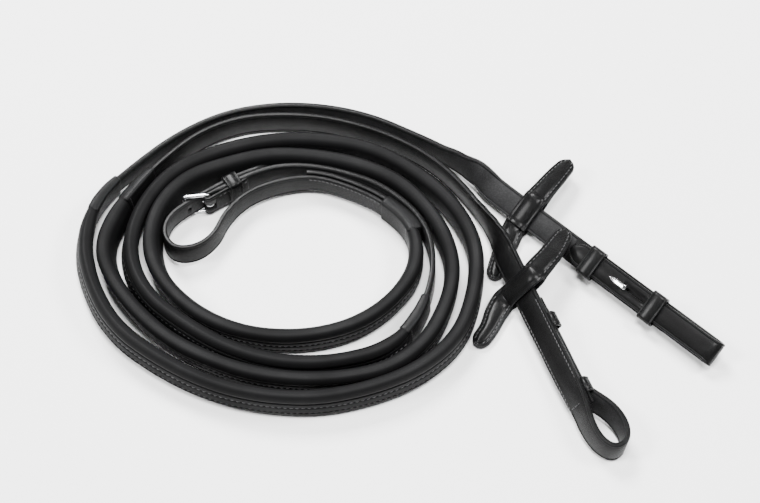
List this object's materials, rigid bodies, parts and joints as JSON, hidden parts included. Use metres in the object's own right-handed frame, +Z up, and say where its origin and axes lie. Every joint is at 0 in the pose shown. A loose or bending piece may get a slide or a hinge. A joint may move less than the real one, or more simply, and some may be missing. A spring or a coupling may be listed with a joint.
{
  "type": "leather riding reins",
  "caption": "Pair of leather riding reins with soft grips, hook-stud billets, rein stops and a centre buckle, coiled on edge.",
  "frame": {"origin": "on the floor, in the middle of the area that the coiled reins cover", "axes": "+Z up; +X from the coil towards the two billets; +Y away from the buckle's open side, towards the back of the coil"},
  "size_m": [0.3792, 0.2416, 0.0231],
  "materials": {
    "bridle_leather": "black bridle leather, waxed, smooth grain with a soft sheen",
    "keeper_leather": "black bridle leather, polished along its raised edges",
    "stop_leather": "black grained leather with a glossy, creased surface",
    "soft_grip": "matt charcoal-black grip leather over rubber, finely grained",
    "polished_steel": "polished stainless steel"
  },
  "bodies": {
    "coiled_reins": {"right_rein_strap": "bridle_leather", "left_rein_strap": "bridle_leather", "point_strap": "bridle_leather", "right_billet_lining": "bridle_leather", "left_billet_lining": "bridle_leather", "right_front_sleeve": "bridle_leather", "left_front_sleeve": "bridle_leather", "right_rear_sleeve": "bridle_leather", "left_rear_sleeve": "bridle_leather", "right_billet_rear_keeper": "keeper_leather", "right_billet_front_keeper": "keeper_leather", "left_billet_rear_keeper": "keeper_leather", "left_billet_front_keeper": "keeper_leather", "buckle_keeper": "keeper_leather", "right_grip_cover": "soft_grip", "left_grip_cover": "soft_grip", "right_hook_stud": "polished_steel", "left_hook_stud": "polished_steel"},
    "right_rein_stop": {"right_rein_stop_face": "stop_leather", "right_rein_stop_back": "stop_leather"},
    "left_rein_stop": {"left_rein_stop_face": "stop_leather", "left_rein_stop_back": "stop_leather"},
    "buckle_frame": {"buckle_frame": "polished_steel"},
    "buckle_tongue": {"buckle_tongue": "polished_steel"}
  },
  "joints": [
    {"name": "right_stop_slide", "type": "slide", "parent": "coiled_reins", "child": "right_rein_stop", "axis": [0.7314, -0.682, 0], "range_m": [-0.0015, 0.007]},
    {"name": "left_stop_slide", "type": "slide", "parent": "coiled_reins", "child": "left_rein_stop", "axis": [0.3551, -0.9348, 0], "range_m": [-0.001, 0.004]},
    {"name": "buckle_swing", "type": "hinge", "parent": "coiled_reins", "child": "buckle_frame", "pos_m": [-0.11216, 0.05025, 0.0095], "axis": [0, 0, -1], "range_deg": [0, 3]},
    {"name": "tongue_swing", "type": "hinge", "parent": "buckle_frame", "child": "buckle_tongue", "pos_m": [-0.11216, 0.05025, 0.0095], "axis": [0, 0, -1], "range_deg": [0, 5]}
  ]
}
